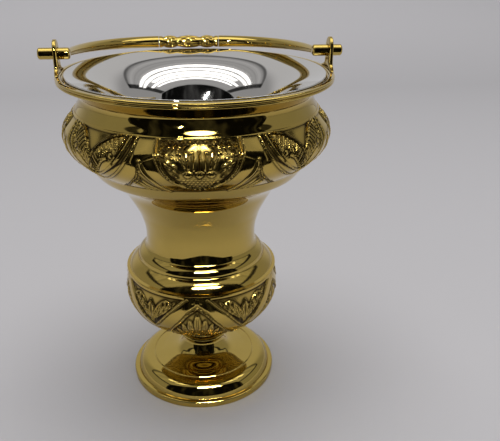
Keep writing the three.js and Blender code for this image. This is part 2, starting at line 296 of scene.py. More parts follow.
def normals(points):
    """Which way is out at each point of an outline that travels up its outer side."""
    along = np.gradient(points, axis=0)
    along /= np.linalg.norm(along, axis=1)[:, None]
    return np.stack([along[:, 1], -along[:, 0]], axis=1)


def inside(points, every=3):
    """The inner face of the sheet, travelling back, with fewer points than the outer one."""
    inner = points - normals(points) * WALL
    keep = sorted(set(range(0, len(points), every)) | {len(points) - 1})
    return inner[keep][::-1]


def rounded(loop, radius, sharper_than=28):
    """Softens the corners of a closed outline."""
    result = []
    for i, corner in enumerate(loop):
        back, on = loop[i - 1] - corner, loop[(i + 1) % len(loop)] - corner
        far = np.linalg.norm(back), np.linalg.norm(on)
        cosine = np.clip(np.dot(back, on) / (far[0] * far[1]), -1, 1)
        turn = 180 - math.degrees(math.acos(cosine))
        if turn < sharper_than or corner[0] < 1e-6:
            result.append(corner)
            continue
        reach = min(radius, 0.45 * far[0], 0.45 * far[1])
        first, last = corner + back / far[0] * reach, corner + on / far[1] * reach
        for t in (0, 0.25, 0.5, 0.75, 1):
            result.append((1 - t) ** 2 * first + 2 * (1 - t) * t * corner + t**2 * last)
    return np.array(result)


def evenly(points, amount):
    """The same line as evenly spaced points, and the distance along it at each."""
    steps = np.linalg.norm(np.diff(points, axis=0), axis=1)
    travelled = np.concatenate([[0], np.cumsum(steps)])
    wanted = np.linspace(0, travelled[-1], amount)
    spread = [np.interp(wanted, travelled, points[:, k]) for k in (0, 1)]
    return np.stack(spread, axis=1), wanted


# Meshes


def turned(loop, columns=256, start=0.0, lift=None):
    """Vertices and faces of a closed outline turned about the pot's axis. The lift has a
    row for each of the first points of the outline and a value for each column."""
    out = normals(loop)
    angles = start + np.arange(columns) * 2 * np.pi / columns
    vertices, faces, rings = [], [], []
    for i, (radius, height) in enumerate(loop):
        if radius < 1e-6:
            rings.append(np.full(columns, len(vertices)))
            vertices.append((0, 0, height))
            continue
        rise = lift[i] if lift is not None and i < len(lift) else np.zeros(columns)
        r, z = radius + rise * out[i, 0], height + rise * out[i, 1]
        rings.append(len(vertices) + np.arange(columns))
        ring = np.stack([r * np.cos(angles), r * np.sin(angles), z], axis=1)
        vertices.extend(ring.tolist())
    for i, ring in enumerate(rings):
        above = rings[(i + 1) % len(rings)]
        if ring[0] == ring[1] and above[0] == above[1]:
            continue
        quads = np.stack([ring, np.roll(ring, -1), np.roll(above, -1), above], axis=1)
        if ring[0] == ring[1]:
            quads = quads[:, [0, 2, 3]]
        elif above[0] == above[1]:
            quads = quads[:, :3]
        faces.extend(quads.tolist())
    return vertices, faces


def capped(rings):
    """Vertices and faces of a closed shape through rings of equally many points."""
    last, sides = len(rings) - 1, len(rings[0])
    faces = []
    for i in range(last):
        for j in range(sides):
            a, b = i * sides + j, i * sides + (j + 1) % sides
            faces.append((a, b, b + sides, a + sides))
    faces.append(tuple(reversed(range(sides))))
    faces.append(tuple(last * sides + j for j in range(sides)))
    return [tuple(point) for ring in rings for point in ring], faces


def add_piece(name, shape, finish, nodes, body="pot", hollow=None):
    """Makes a mesh in millimetres into a piece that rides on a body and stands for nodes."""
    vertices, faces = shape
    mesh = bpy.data.meshes.new(name)
    mesh.from_pydata((np.array(vertices) / MM).tolist(), [], faces)
    if mesh.validate():
        raise RuntimeError(f"{name} has a mesh that isn't sound")
    mesh.polygons.foreach_set("use_smooth", [True] * len(mesh.polygons))
    mesh.set_sharp_from_angle(angle=SHARP)
    # How hollow each place is goes on the mesh for the relief's tarnish and painted shade
    if hollow is not None:
        depth = np.zeros(len(vertices), np.float32)
        depth[: hollow.size] = hollow.ravel()
        layer = mesh.attributes.new("hollow", "FLOAT", "POINT")
        layer.data.foreach_set("value", depth)
    mesh.materials.append(finish_of(finish))
    piece = bpy.data.objects.new(name, mesh)
    bpy.context.scene.collection.objects.link(piece)
    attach(piece, body)
    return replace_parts(piece, *nodes)


def moved(shape, matrix):
    """A shape's vertices, moved by a matrix in millimetres."""
    vertices, faces = shape
    points = np.array(vertices) @ np.array(matrix)[:3, :3].T
    return (points + np.array(matrix)[:3, 3]).tolist(), faces


# Cast relief


def curve(points, fine=6):
    """A smooth line through the points."""
    p = np.array(points, float)
    if len(p) < 3:
        return p
    p = np.vstack([2 * p[0] - p[1], p, 2 * p[-1] - p[-2]])
    t = np.linspace(0, 1, fine, endpoint=False)[:, None]
    runs = []
    for a, b, c, d in zip(p, p[1:], p[2:], p[3:]):
        square, cube = 2 * a - 5 * b + 4 * c - d, 3 * b - a - 3 * c + d
        runs.append((2 * b + (c - a) * t + square * t**2 + cube * t**3) / 2)
    return np.vstack([*runs, p[-2]])


def eased(value):
    """From 0 to 1 with a soft start and end."""
    value = np.clip(value, 0, 1)
    return value * value * (3 - 2 * value)


# How soon a bead, a leaf and a boss rise to their full height from their edges
BEAD, LEAF, BOSS = 1.35, 1.5, 1.4


class Carving:
    """Heights over one half of a mirrored ornament, which strokes raise or cut to a level.
    Places are given as degrees from the ornament's middle and millimetres up the side."""

    def __init__(self, outer, travelled, columns, cells, ground):
        half = np.linspace(0, 180 / cells, columns // (2 * cells) + 1)
        degrees, self.up = np.meshgrid(half, travelled)
        self.travelled = travelled
        self.degree = math.radians(1) * outer[:, 0]
        self.across = degrees * self.degree[:, None]
        self.height = np.full(degrees.shape, ground)

    def flat(self, points):
        """Points in millimetres across and up the side."""
        line = np.array(points, float)
        line[:, 0] *= np.interp(line[:, 1], self.travelled, self.degree)
        return line

    def reach(self, points, smooth=True):
        """How far each place is from a line, and how far along the line it lies."""
        line = self.flat(curve(points) if smooth else points)
        steps = np.linalg.norm(np.diff(line, axis=0), axis=1)
        before = np.concatenate([[0], np.cumsum(steps)])
        best = np.full(self.height.shape, np.inf)
        along = np.zeros(self.height.shape)
        for i, (a, b) in enumerate(zip(line, line[1:])):
            d = b - a
            x, y = self.across - a[0], self.up - a[1]
            t = np.clip((x * d[0] + y * d[1]) / max(d @ d, 1e-9), 0, 1)
            gap = np.hypot(x - t * d[0], y - t * d[1])
            near = gap < best
            best[near] = gap[near]
            along[near] = ((before[i] + t * steps[i]) / before[-1])[near]
        return best, along

    def bring(self, level, form):
        """Moves the heights towards a level, wholly where the form is one or more."""
        self.height += (level - self.height) * eased(form)

    def stroke(self, points, *layers, taper=0.0, smooth=True):
        """Round beads or grooves along a line, each with a width and a level; taper
        narrows them towards the line's end."""
        gap, along = self.reach(points, smooth)
        for width, level in layers:
            half = width / 2 * (1 - taper * along)
            self.bring(level, BEAD * (1 - gap / half))

    def leaf(self, points, *layers, fullest=0.4):
        """Pointed forms along a line, each with a width and a level, widest at a share of
        the line's length."""
        gap, along = self.reach(points)
        out = np.where(along < fullest, along / fullest, (1 - along) / (1 - fullest))
        for width, level in layers:
            half = width / 2 * np.sqrt(np.clip(out, 0.02, 1))
            self.bring(level, LEAF * (1 - gap / half))

    def area(self, outline, level, edge=0.6):
        """A field inside an outline, brought to a level with a soft edge."""
        closed = [*outline, outline[0]]
        gap, _ = self.reach(closed, False)
        line = self.flat(closed)
        within = np.zeros(self.height.shape, bool)
        for (ax, ay), (bx, by) in zip(line, line[1:]):
            if ay == by:
                continue
            crosses = (ay > self.up) != (by > self.up)
            side = self.across < (bx - ax) * (self.up - ay) / (by - ay) + ax
            within ^= crosses & side
        self.bring(level, 0.5 + np.where(within, gap, -gap) / edge)
        return np.where(within, gap, 0)

    def boss(self, place, radius, level):
        """A round bead or pit at a place."""
        x, y = self.flat([place])[0]
        gap = np.hypot(self.across - x, self.up - y)
        self.bring(level, BOSS * (1 - gap / radius))

    def all_round(self, cells):
        """The heights, mirrored and repeated round the pot, and how hollow each place is."""
        half = self.height
        whole = np.concatenate([half[:, :-1], half[:, :0:-1]], axis=1)
        heights = np.tile(whole, (1, cells))
        return heights, hollows(heights)


def blurred(heights, rows, columns):
    """Heights averaged over their neighbours, going on round the pot."""
    result = heights
    for axis, reach, mode in ((0, rows, "edge"), (1, columns, "wrap")):
        weights = np.exp(-((np.arange(-reach, reach + 1) / (reach * 0.5)) ** 2) / 2)
        weights /= weights.sum()
        pad = [(0, 0), (0, 0)]
        pad[axis] = (reach, reach)
        wide = np.pad(result, pad, mode=mode)
        size = result.shape[axis]
        result = sum(
            w * np.take(wide, np.arange(i, i + size), axis=axis)
            for i, w in enumerate(weights)
        )
    return result


def hollows(heights):
    """How deep each place lies below its neighbours, from 0 to 1."""
    # This depth darkens the relief's colour: tarnish, and painted shade in the recesses
    # A place is wholly hollow when it lies 0.06 mm under what is next to it and 0.22 mm
    # under what is a little further off
    near = blurred(heights, 3, 3) - heights
    wide = blurred(heights, 8, 8) - heights
    return np.clip(near / 0.06, 0, 1) * 0.6 + np.clip(wide / 0.22, 0, 1) * 0.4


def band_relief(outer, travelled, columns, cells):
    """Shell cartouches between bent straps, with ribbed half shells that meet between."""
    work = Carving(outer, travelled, columns, cells, -0.55)
    top = 34.6

    # Plain fields on both sides of the cartouche
    field = [(16, top), (16, 27), (14.6, 21.8), (12.7, 17.2), (9, 11.5), (6, 6.8)]
    field += [(13, 2), (16.3, 8.3), (20.8, 17.2), (24.4, 17), (26, 22), (24, top)]
    work.area(field, -0.3)
    # Sloping field under the straps
    slope = [(22, 21.5), (24, 16.5), (30, 7), (36, 0), (45, 0), (45, 9), (36, 15)]
    work.area([*slope, (29, 21)], -0.3)
    # Streaks that follow the straps down
    for shift in (0, 3.2, 6.2):
        line = [(25.5 + shift, 12 - shift), (30 + shift, 6 - shift * 0.9)]
        line += [(34.5 + shift, 1.5 - shift * 0.6)]
        work.stroke(line, (0.8, -0.6))

    # Straps that fall from the top edge and sweep under the half shells
    first = [(24.9, top), (26.2, 26.6), (27.9, 22.3), (29.8, 18.8), (32.9, 14.6)]
    first += [(37, 10.6), (41, 7.4), (45, 5.2)]
    work.stroke(first, (2.4, -0.5), (1.5, 0.1))
    second = [(27.6, top), (29.5, 26.6), (31.4, 22.3), (34.4, 18.5), (38.8, 14.2)]
    second += [(43, 10.9), (45, 9.8)]
    work.stroke(second, (3.2, -0.6), (1.9, 0.3))

    # Half shell: a swollen field, its double edge and its slanting ribs
    shell = [(29.8, top), (31.4, 27), (33, 22.6), (36, 18.5), (40, 14.9), (45, 12)]
    edge = [(45, 21), (43.4, 24.4), (41, 27.6), (38, 31), (35, 33.4), (33, top)]
    inset = work.area(shell + edge, -0.25, 0.5)
    work.height += 0.45 * np.sqrt(np.clip(inset / 4.5, 0, 1))
    work.stroke(shell, (1.0, 0.3))
    feet = [(31.9, 28.2), (33.1, 26.8), (34.6, 25.4), (36.1, 24.0), (37.5, 22.5)]
    feet += [(38.8, 21.0), (40.0, 19.4), (41.1, 17.7), (42.2, 15.9), (43.2, 14.2)]
    tips = [(33.6, 33.2), (35.2, 32.0), (36.9, 30.6), (38.5, 29.1), (39.9, 27.6)]
    tips += [(41.2, 26.0), (42.4, 24.3), (43.5, 22.4), (44.5, 20.3), (45.0, 17.6)]
    ribs = [*zip(feet, tips), ((44.2, 12.8), (45.0, 14.6))]
    for layer in ((2.2, -0.45), (1.25, 0.3)):
        for rib in ribs:
            work.stroke(rib, layer, smooth=False)
    outer_edge = [(31.5, 34.3), (35.3, 33.4), (38.6, 30.8), (41.6, 27.2), (44, 23)]
    outer_edge += [(45, 20.6)]
    work.stroke(outer_edge, (2.6, -0.5), (0.9, 0.3))
    # Smooth lobe and the round boss inside it
    lobe = [(33.6, 19.6), (36.4, 20.6), (39, 18.6), (41.3, 15.2), (42.2, 12.9)]
    work.stroke(lobe, (1.0, -0.5))
    work.leaf([(34.4, 20.4), (37.6, 17.4), (42.4, 12.8)], (5.0, 0.2))
    work.boss((34.6, 23.2), 2.9, -0.6)
    work.boss((34.6, 23.2), 1.9, 0.1)

    # Border of the cartouche's outer field, with its roof line
    border = [(22.4, 23), (20.9, 17.6), (18.5, 13), (16.3, 8.3), (14.5, 4.5), (12.8, 1)]
    work.stroke(border, (3.4, -0.6), (2.1, 0.2))
    other = [(22.5, 22.3), (23.2, 18.6), (24.6, 13.6), (26.9, 10.5), (30.2, 5.5)]
    other += [(33.5, 1.5)]
    work.stroke(other, (1.9, -0.65), (0.7, -0.1))
    work.stroke([(16.8, 25.5), (19.5, 24), (22.2, 22.3)], (0.7, -0.6))
    # Long narrow leaves that run down beside the border
    for line in (
        [(23.4, 15), (21.4, 10), (18.9, 5), (17, 1.6)],
        [(25, 12.4), (22.8, 7.6), (20.4, 3.4), (19.2, 1.4)],
        [(26.8, 9.8), (24.8, 6), (22.6, 2.8), (21.8, 1.4)],
    ):
        work.leaf(line, (2.8, -0.65), (1.7, 0.05), fullest=0.45)

    # Cartouche: a sunk field with a double strap round it
    inner = [(0, 33.6), (15.4, 33.6), (15.4, 27), (14, 21.8), (12, 17.2), (9.3, 13)]
    inner += [(7, 11), (4, 8.6), (0, 6.6)]
    inside_of = work.area(inner, -0.75, 0.8)
    work.height += 0.3 * np.sqrt(np.clip(inside_of / 9, 0, 1))
    # Fluted middle of the shell, each flute hooked at its top
    for start, drift in ((0, 0), (2.45, 0.35), (4.8, 0.9), (7.1, 1.9)):
        tip = 28.6 - start * 0.1
        foot = 18.6 + start * 0.35
        line = [(start + 0.9, tip - 0.6), (start, tip), (start - 0.1, tip - 2.2)]
        line += [(start - drift * 0.6, (tip + foot) / 2), (start - drift, foot)]
        work.stroke(line if start else line[1:], (1.35, 0.05), taper=0.3)
    # Drooping feathers on both sides of the flutes
    feathers = ((3.6, 31.8, 5.9, 28.6), (5.6, 32.4, 8.3, 28.0), (7.7, 32.5, 10.4, 27.8))
    for x, y, to_x, to_y in (*feathers, (9.9, 32.2, 12, 28.6)):
        line = [(x, y), ((x + to_x) / 2 + 0.4, (y + to_y) / 2 + 0.4), (to_x, to_y)]
        work.leaf(line, (1.5, 0.05), fullest=0.5)
    # Crossed lattice in the upper corner
    for k in range(5):
        rising = [(12.2, 31.6 - k * 1.5), (15.4, 33.2 - k * 1.5)]
        falling = [(12.2 + k * 0.8, 32.6), (14.6 + k * 0.5, 27)]
        work.stroke(rising, (0.6, 0), smooth=False)
        work.stroke(falling, (0.6, 0), smooth=False)
    # Small arches along the top edge
    for middle in (0, 3, 6, 9, 12):
        arch = [(middle - 1.2, 32.7), (middle, 33.7), (middle + 1.2, 32.7)]
        work.stroke(arch, (0.8, 0.05))
    # Bells under the flutes
    for middle in (0, 4.3):
        work.leaf([(middle, 18.4), (middle, 15.6)], (4.2, 0.15), fullest=0.65)
        lip = [(middle - 1.5, 18.3), (middle, 18.8), (middle + 1.5, 18.3)]
        work.stroke(lip, (0.9, 0.1))
    # Small leaves between the shell and the strap
    leaves = ((7.8, 15.2, 9.4, 17.4), (7.4, 18.0, 9.6, 19.8), (9.8, 19.0, 11.2, 21.2))
    leaves += ((8.2, 21.2, 10.4, 22.6), (10.6, 22.6, 12.4, 24.6), (9.0, 24.4, 10.8, 26.0))
    for x, y, to_x, to_y in (*leaves, (12.0, 25.4, 13.6, 26.8), (11.6, 20.6, 12.8, 22.8)):
        work.leaf([(x, y), (to_x, to_y)], (1.5, -0.1), fullest=0.5)
    # Beaded field that narrows towards the bottom
    for row in range(5):
        level = 13.8 - row * 1.6
        for step in range(5 - row // 2):
            work.boss((0.8 * (row % 2) + step * 1.5, level), 0.75, -0.3)
    strap = [(16.2, top), (16.0, 27), (14.7, 21.8), (12.8, 17.2), (10.0, 13.1)]
    strap += [(8, 11), (5, 8.2), (0, 5.9)]
    work.stroke(strap, (3.6, -0.6), (2.5, 0.25), (0.75, -0.25))

    # Plain edges at the top and the bottom
    work.bring(-0.1, (work.up - 34) / 0.7)
    work.bring(-0.1, (1.2 - work.up) / 1.2)
    return work.all_round(cells)


def bulb_relief(outer, travelled, columns, cells):
    """Fans of petals in a zigzag strap, with spread leaves in the gaps above."""
    work = Carving(outer, travelled, columns, cells, -0.5)
    lower = [(0, 54), (4, 51.6), (8, 49), (12, 44.8), (17, 40.2), (22, 34.8)]
    lower += [(27, 30.5), (36, 23)]
    upper = [(6.5, 60), (8.5, 59), (14, 55), (19.2, 51), (24, 46.7), (29, 41.8)]
    upper += [(34, 37.6), (36, 36.3)]
    # Polished zigzag strap
    work.area([*lower, (37, 22), (37, 36), *upper[::-1], (0, 61)], -0.05, 0.8)

    # Fan: pointed petals with a double outline, standing on a base of small leaves
    fan = [(0, 52.5), (4, 50.3), (8, 47.7), (12, 43.5), (17, 38.9), (22, 33.6)]
    work.area([*fan, (27, 29.3), (36, 22), (36, 0), (0, 0)], -0.55, 0.8)
    petals = (
        ([(0, 30), (0, 40), (0, 50.2)], 6.0),
        ([(2.4, 30), (4.6, 38), (5.6, 46.6)], 5.0),
        ([(4.6, 29), (8.8, 36), (10.6, 43.4)], 4.6),
        ([(7.0, 27.5), (12.6, 33.6), (15.4, 39.0)], 4.4),
        ([(9.5, 25.5), (16.2, 30.6), (20.4, 34.4)], 4.2),
    )
    for line, width in petals[::-1]:
        veins = (width * 0.5, -0.35), (width * 0.22, 0.0)
        work.leaf(line, (width + 1.3, -0.65), (width, 0.1), *veins, fullest=0.62)
    # Long flutes that run down to the collar
    for k in range(8):
        at = k * 36 / 7.5
        line = [(at, 4), (at * 0.96, 14), (at * 0.8, 24), (at * 0.62, 31)]
        work.leaf(line, (2.6 - 0.1 * k, -0.05), fullest=0.45)
    for k in range(7):
        at = (k + 0.5) * 36 / 7.5
        work.boss((at * 0.5, 32.5 - 0.02 * at), 1.0, 0.0)

    # Spread leaf in the gap above, on the axis between two fans
    gap = [(36, 38.4), (34, 39.6), (29, 43.9), (24, 48.7), (19.6, 52.8), (14.4, 56.8)]
    work.area([*gap, (10.5, 59.8), (37, 60.5), (37, 38)], -0.6, 0.7)
    fingers = (
        ([(36, 39.5), (36, 48), (36, 55.5)], 6.0),
        ([(34.4, 42), (32.4, 47), (30.6, 51.5)], 3.4),
        ([(32.4, 43), (28.6, 49), (27.4, 54.6)], 3.4),
        ([(30.4, 44.6), (25.4, 50.4), (24.0, 56.4)], 3.0),
        ([(28.0, 46.6), (22.4, 51.6), (19.6, 56.4)], 2.8),
        ([(25.4, 49.4), (19.8, 53.4), (15.6, 57.2)], 2.2),
    )
    for line, width in fingers:
        layers = (width + 1.0, -0.7), (width, 0.1), (width * 0.36, -0.35)
        work.leaf(line, *layers, fullest=0.6)
    scroll = [(18, 53.4), (21, 55.4), (24.2, 56), (28.6, 53.6), (32.2, 49)]
    work.stroke(scroll, (1.0, 0.2))
    work.stroke([(33, 50.4), (34.6, 52.4), (36, 53)], (0.9, 0.15))
    # Bud over the point of the fan
    work.leaf([(0, 55.2), (0, 59.4)], (3.4, 0.1), fullest=0.5)
    work.stroke([(1.6, 58.6), (3.2, 57.0)], (0.8, 0.1))

    # Strap's edges: a bright bead with a dark groove on its inner side
    for line, shift in ((lower, 1.71), (upper, -1.71)):
        work.stroke(line, (2.4, -0.45), (1.1, 0.25))
        work.stroke([(x, y + shift) for x, y in line], (0.7, -0.3))
    work.bring(-0.1, (work.up - 58.6) / 0.8)
    work.bring(-0.1, (6 - work.up) / 4)
    return work.all_round(cells)


# Materials


def add(tree, kind, settings=None, links=None):
    """Adds a node, sets its settings and inputs, and links what feeds its inputs."""
    node = tree.nodes.new("ShaderNode" + kind)
    for name, value in (settings or {}).items():
        if isinstance(name, int) or name in node.inputs:
            node.inputs[name].default_value = value
        else:
            setattr(node, name, value)
    for name, source in (links or {}).items():
        tree.links.new(source, node.inputs[name])
    return node


def new_material(name):
    """A new material and its empty node tree."""
    material = bpy.data.materials.new(name)
    material.use_nodes = True
    material.node_tree.nodes.clear()
    return material, material.node_tree


def rgba(value):
    return (*value, 1)


def ring_coordinates(tree):
    """The place, and its distance from the axis with its height, which make a pattern run
    round a spun piece."""
    place = add(tree, "TexCoord").outputs["Object"]
    split = add(tree, "SeparateXYZ", links={0: place}).outputs
    across = add(tree, "CombineXYZ", links={0: split["X"], 1: split["Y"]}).outputs[0]
    radius = add(tree, "VectorMath", {"operation": "LENGTH"}, {0: across}).outputs["Value"]
    return place, add(tree, "CombineXYZ", links={0: radius, 1: split["Z"]}).outputs[0]


def spun_brass(name, finishes):
    """Brass spun on a chuck, buffed and lacquered: a clear reflection with faint rings
    from the buff, soft cloudy patches of wear, and a colour that is hardly uneven."""
    material, tree = new_material(name)
    place, rings = ring_coordinates(tree)
    # Buffing lines are some 0.05 mm apart; they are drawn 0.4 mm apart so that they show
    buffing = {"Scale": 2500, "Detail": 2, "noise_dimensions": "2D"}
    lines = add(tree, "TexNoise", buffing, {"Vector": rings}).outputs["Fac"]
    # Handling leaves patches about 12 mm across
    handling = {"Scale": 80, "Detail": 5}
    patches = add(tree, "TexNoise", handling, {"Vector": place}).outputs["Fac"]
    worn = rgba(tuple(c * 0.86 for c in finishes.brass))
    tones = {"data_type": "RGBA", 6: rgba(finishes.brass), 7: worn}
    tone = add(tree, "Mix", tones, {"Factor": patches}).outputs[2]
    rough = finishes.spun_roughness
    limits = {"From Min": 0.35, "From Max": 0.7, "To Min": rough, "To Max": rough * 2}
    wear = add(tree, "MapRange", limits, {"Value": patches}).outputs["Result"]
    depth = {"Strength": 0.06, "Distance": 0.00001}
    bump = add(tree, "Bump", depth, {"Height": lines}).outputs["Normal"]
    links = {"Base Color": tone, "Roughness": wear, "Normal": bump}
    shader = add(tree, "BsdfPrincipled", {"Metallic": 1}, links)
    add(tree, "OutputMaterial", links={"Surface": shader.outputs[0]})
    return material


def relief_brass(name, finishes):
    """Brass cast in sand and polished on its high points only: bright edges, and hollows painted
    dark brown and dull, with a fine cast grain. The dark in the hollows is partly the tarnish
    where the polish never reached and partly painted shade for the dark reflections and shade in
    the recesses."""
    material, tree = new_material(name)
    place = add(tree, "TexCoord").outputs["Object"]
    # Painted shade and tarnish: the hollow depth mixes the dark brown into the recesses
    depth = add(tree, "Attribute", {"attribute_name": "hollow"}).outputs["Fac"]
    # The cast skin's grain is about 0.5 mm
    cast_skin = {"Scale": 1800, "Detail": 3}
    grain = add(tree, "TexNoise", cast_skin, {"Vector": place}).outputs["Fac"]
    tones = {"data_type": "RGBA", 6: rgba(finishes.cast), 7: rgba(finishes.hollow)}
    tone = add(tree, "Mix", tones, {"Factor": depth}).outputs[2]
    limits = {"To Min": finishes.cast_roughness, "To Max": 0.5}
    dull = add(tree, "MapRange", limits, {"Value": depth}).outputs["Result"]
    pits = {"Strength": 0.3, "Distance": 0.00004}
    bump = add(tree, "Bump", pits, {"Height": grain}).outputs["Normal"]
    links = {"Base Color": tone, "Roughness": dull, "Normal": bump}
    shader = add(tree, "BsdfPrincipled", {"Metallic": 1}, links)
    add(tree, "OutputMaterial", links={"Surface": shader.outputs[0]})
    return material


def nickel_plate(name, finishes):
    """Nickel plate over spun sheet: a cool mirror, with hair scratches from use."""
    material, tree = new_material(name)
    place, rings = ring_coordinates(tree)
    # Hair scratches about 0.3 mm apart and some 10 mm long
    hairs = {"Scale": 1500, "Detail": 2, "noise_dimensions": "2D"}
    scratches = add(tree, "TexNoise", hairs, {"Vector": rings}).outputs["Fac"]
    smears = add(tree, "TexNoise", {"Scale": 60, "Detail": 4}, {"Vector": place})
    rough = finishes.plate_roughness
    limits = {"From Min": 0.4, "From Max": 0.75, "To Min": rough, "To Max": rough * 3}
    dull = add(tree, "MapRange", limits, {"Value": smears.outputs["Fac"]}).outputs["Result"]
    depth = {"Strength": 0.1, "Distance": 0.000005}
    bump = add(tree, "Bump", depth, {"Height": scratches}).outputs["Normal"]
    metal = {"Metallic": 1, "Base Color": rgba(finishes.nickel)}
    shader = add(tree, "BsdfPrincipled", metal, {"Roughness": dull, "Normal": bump})
    add(tree, "OutputMaterial", links={"Surface": shader.outputs[0]})
    return material


def machined_steel(name, finishes):
    """Plain machined steel, out of sight inside the pot."""
    material, tree = new_material(name)
    _, rings = ring_coordinates(tree)
    # Tool marks about 0.5 mm apart
    turning = {"Scale": 2000, "noise_dimensions": "2D"}
    marks = add(tree, "TexNoise", turning, {"Vector": rings}).outputs["Fac"]
    dull = add(tree, "MapRange", {"To Min": 0.3, "To Max": 0.5}, {"Value": marks})
    metal = {"Metallic": 1, "Base Color": rgba(finishes.steel)}
    shader = add(tree, "BsdfPrincipled", metal, {"Roughness": dull.outputs["Result"]})
    add(tree, "OutputMaterial", links={"Surface": shader.outputs[0]})
    return material


MAKERS = {
    "spun brass": spun_brass,
    "relief brass": relief_brass,
    "nickel plate": nickel_plate,
    "machined steel": machined_steel,
}


def finish_of(name):
    """The named finish, made the first time it is asked for."""
    found = bpy.data.materials.get(name)
    return found or MAKERS[name](name, bpy.context.scene.holy_water_pot.finishes)


# Pieces


class POT_OT_foot(bpy.types.Operator):
    """Builds the spun foot and the collar on its stem"""

    bl_idname = "holy_water_pot.foot"
    bl_label = "Foot and collar"

    def execute(self, context):
        size = sizes(context, "foot")
        low, high, radius = span("foot")
        under = high - size.stem_plate
        edge = (radius, low + size.band_height * 0.75)
        line = (radius - size.band_width, low + size.band_height)
        crown = (size.crown_radius, low + size.crown_height)
        knee = (size.stem_radius + 3.6, crown[1] + 4)
        ring = bend(line, 104, crown, 176, 90, 0.5)
        cut = eased(1 - abs(ring[:, 0] - size.line_radius) / 0.55)
        ring[:, 1] -= size.line_depth * cut
        cone = joined(
            bend(crown, 168, knee, 134, 20, 0.33),
            bend(knee, 134, (size.stem_radius, under), 92, 16),
        )
        loop = joined(
            (radius, low),
            bend(edge, 95, line, 175, 8),
            ring,
            cone,
            (size.stem_radius, high),
            (size.bore, high),
            (size.bore, under),
            inside(joined(ring, cone)),
            (radius - WALL, low),
        )
        add_piece("spun_foot", turned(rounded(loop, 0.5)), "spun brass", ["foot"])

        low, high, _ = span("stem_collar")
        pitch = (high - low) / (size.ridges + 0.5)
        ridge_share = 0.9
        groove = size.ridge_radius - size.groove
        outer = []
        for i in range(size.ridges):
            start = low + i * pitch
            for part in np.linspace(0, ridge_share, 13):
                swell = max(0, math.sin(math.pi * part / ridge_share)) ** 0.55
                outer.append((groove + size.groove * swell, start + part * pitch))
        top = (size.collar_radius, high)
        loop = joined(outer, top, (size.bore, high), (size.bore, low))
        add_piece("turned_collar", turned(loop, 160), "spun brass", ["stem_collar"])
        return {"FINISHED"}


def bulb_outline(size):
    """The bulb's outer side: the relief's part, then the raised line and the shoulder."""
    low, high, radius = span("bulb")
    start = -math.acos(size.seat_radius / radius)
    belly = low + size.seat_height + size.depth * math.sin(-start)
    turn = np.linspace(start, 0, 60)
    swelling = [radius * np.cos(turn), belly + size.depth * np.sin(turn)]
    round_half = np.stack(swelling, axis=1)
    line = (size.side_radius, belly + size.side_rise)
    side = bend((radius, belly), 90, line, 98, 24)
    below = joined((size.seat_radius, low), round_half, side)
    top = line[1] + size.line_width
    start = (size.side_radius - size.shoulder_inset, top)
    end = (size.mouth_radius + 0.55, high - 0.45)
    shoulder = joined(bend(start, 108, end, 142, 24, 0.25), (size.mouth_radius, high))
    proud = size.side_radius + size.line_proud
    ridge = [
        (proud - 0.25, line[1] + 0.1),
        (proud, line[1] + size.line_width * 0.4),
        (proud - 0.2, line[1] + size.line_width * 0.75),
    ]
    return below, joined(ridge, shoulder), shoulder


class POT_OT_bulb(bpy.types.Operator):
    """Builds the bulb with its cast straps and leaves"""

    bl_idname = "holy_water_pot.bulb"
    bl_label = "Bulb"

    def execute(self, context):
        size = sizes(context, "bulb")
        low = span("bulb")[0]
        below, above, shoulder = bulb_outline(size)
        # Rows and columns about 0.5 mm apart carry the relief
        outer, travelled = evenly(below, 128)
        columns = 560
        inner = inside(joined(outer, shoulder), 12)
        plate = low + size.seat_height + WALL
        loop = joined(outer, above, inner, (size.bore, plate), (size.bore, low))
        lift, hollow = bulb_relief(outer, travelled, columns, size.cells)
        shape = turned(loop, columns, FRONT + size.turn, lift)
        add_piece("cast_bulb", shape, "relief brass", ["bulb"], hollow=hollow)
        return {"FINISHED"}


class POT_OT_neck(bpy.types.Operator):
    """Builds the spun neck between the bulb and the band"""

    bl_idname = "holy_water_pot.neck"
    bl_label = "Neck"

    def execute(self, context):
        size = sizes(context, "neck")
        low, high, radius = span("neck")
        mouth = span("bulb")[2] - size.mouth_inset
        step = (mouth - size.step_inset, low + size.step_rise)
        waist = (size.waist_radius, step[1] + size.waist_rise)
        crease = (size.flare_radius, waist[1] + size.flare_rise)
        knee = (crease[0] - size.knee_inset, crease[1] - size.knee_drop)
        # Points on the way up: the flare's two turns, then the ring and its two hollows
        low_knee = (waist[0] + 3.1, waist[1] + 15.3)
        ring = (crease[0] + 2, crease[1] + 1.3)
        joint = (mouth, low)
        riser = (mouth - 0.7, low + 1.8)
        top = (step[0] + 0.8, step[1] + 0.9)
        foot = (waist[0] + 0.1, step[1] + 4.6)
        cone = (mouth - 0.35, low + 0.35)
        outer = joined(
            bend(joint, 137, cone, 136, 3),
            bend(cone, 134, riser, 93, 8, 0.4),
            bend(riser, 93, top, 142, 18, 0.3),
            bend(top, 142, foot, 94, 14, 0.3),
            bend(foot, 94, waist, 90, 4),
            bend(waist, 90, low_knee, 71, 16),
            bend(low_knee, 69, knee, 59, 14, 0.22),
            bend(knee, 58.6, crease, 33, 12, 0.33),
            bend(crease, 14, ring, 50, 6),
            bend(ring, 50, (radius, high), 56, 8),
        )
        loop = rounded(joined(outer, inside(outer)), 0.3)
        add_piece("spun_neck", turned(loop), "spun brass", ["neck"])
        return {"FINISHED"}


